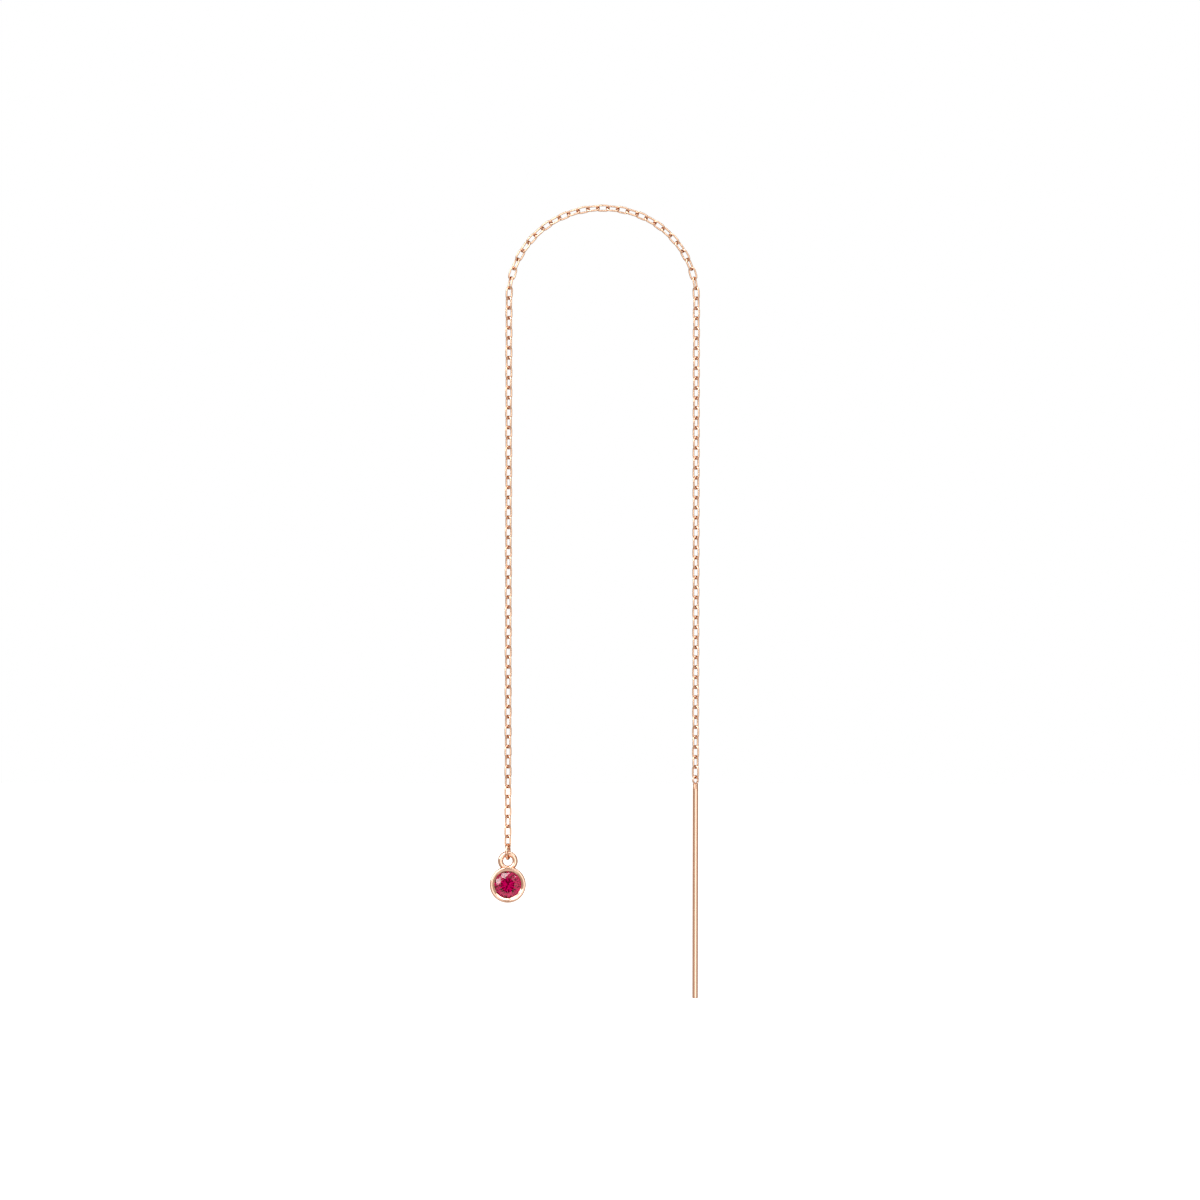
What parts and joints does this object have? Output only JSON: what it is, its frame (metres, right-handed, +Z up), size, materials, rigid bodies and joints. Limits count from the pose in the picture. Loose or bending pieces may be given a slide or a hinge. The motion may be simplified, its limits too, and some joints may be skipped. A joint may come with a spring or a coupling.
{
  "type": "threader earring",
  "caption": "Threader earring: a fine cable chain worn through the ear, with a bezel-set round stone hanging in front and a straight bar behind.",
  "frame": {"origin": "middle of the crown link, where the chain runs through the piercing", "axes": "+Z up, -Y the front, +X towards the strand that carries the bar"},
  "size_m": [0.0221, 0.0022, 0.0841],
  "materials": {
    "rose_gold": "polished",
    "ruby": "faceted and polished"
  },
  "bodies": {
    "chain": {"chain": "rose_gold"},
    "jump_ring": {"jump_ring": "rose_gold"},
    "drop": {"bezel": "rose_gold", "ruby": "ruby"},
    "bar": {"bar": "rose_gold"}
  },
  "joints": [
    {"name": "ring_swing", "type": "hinge", "parent": "chain", "child": "jump_ring", "pos_m": [-0.00994, 0, -0.06783], "axis": [0.9781, -0.2079, 0], "range_deg": [-75, 75]},
    {"name": "drop_swing", "type": "hinge", "parent": "jump_ring", "child": "drop", "pos_m": [-0.00994, 0, -0.06898], "axis": [0, 1, 0], "range_deg": [-70, 70]},
    {"name": "bar_swing", "type": "hinge", "parent": "chain", "child": "bar", "pos_m": [0.00994, 0, -0.06043], "axis": [-0.766, 0.6428, 0], "range_deg": [-110, 110]}
  ]
}
